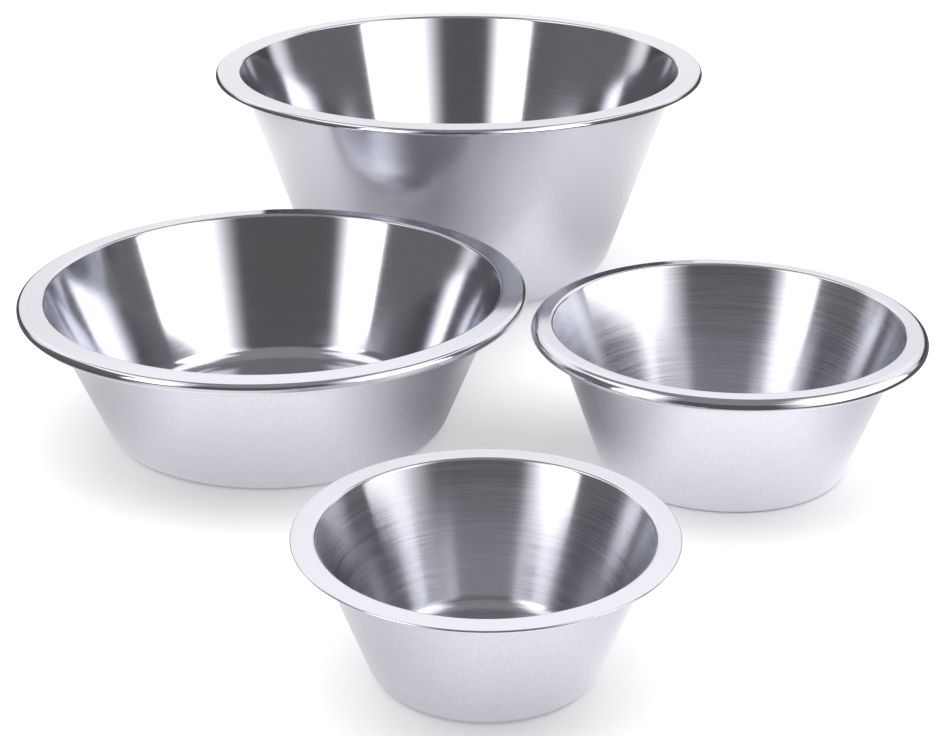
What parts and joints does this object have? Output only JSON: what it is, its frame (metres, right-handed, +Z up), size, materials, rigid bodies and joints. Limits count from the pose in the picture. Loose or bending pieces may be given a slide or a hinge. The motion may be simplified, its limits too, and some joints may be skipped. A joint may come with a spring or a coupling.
{
  "type": "conical bowl set",
  "caption": "Loose conical stainless steel bowls for ward and treatment use, from small to deep, with flat bases and flat, turned-down or rolled rims, set out as a group.",
  "frame": {"origin": "on the surface that the bowls stand on, under the middle of the set's bounding box", "axes": "+Z up; +Y from the small bowl at the front to the deep bowl at the back; +X from the wide bowl on the left to the medium bowl on the right"},
  "size_m": [0.464, 0.7298, 0.1346],
  "materials": {
    "stainless_sheet": "satin outside, polished inside with fine turned grain, bright rim"
  },
  "bodies": {
    "wide": {"wide_bowl": "stainless_sheet"},
    "medium": {"medium_bowl": "stainless_sheet"},
    "small": {"small_bowl": "stainless_sheet"},
    "deep": {"deep_bowl": "stainless_sheet"}
  },
  "joints": [
    {"name": "medium_lift", "type": "slide", "parent": "wide", "child": "medium", "axis": [0, 0, 1], "range_m": [0, 0.15]},
    {"name": "small_lift", "type": "slide", "parent": "wide", "child": "small", "axis": [0, 0, 1], "range_m": [0, 0.15]},
    {"name": "deep_lift", "type": "slide", "parent": "wide", "child": "deep", "axis": [0, 0, 1], "range_m": [0, 0.15]}
  ]
}
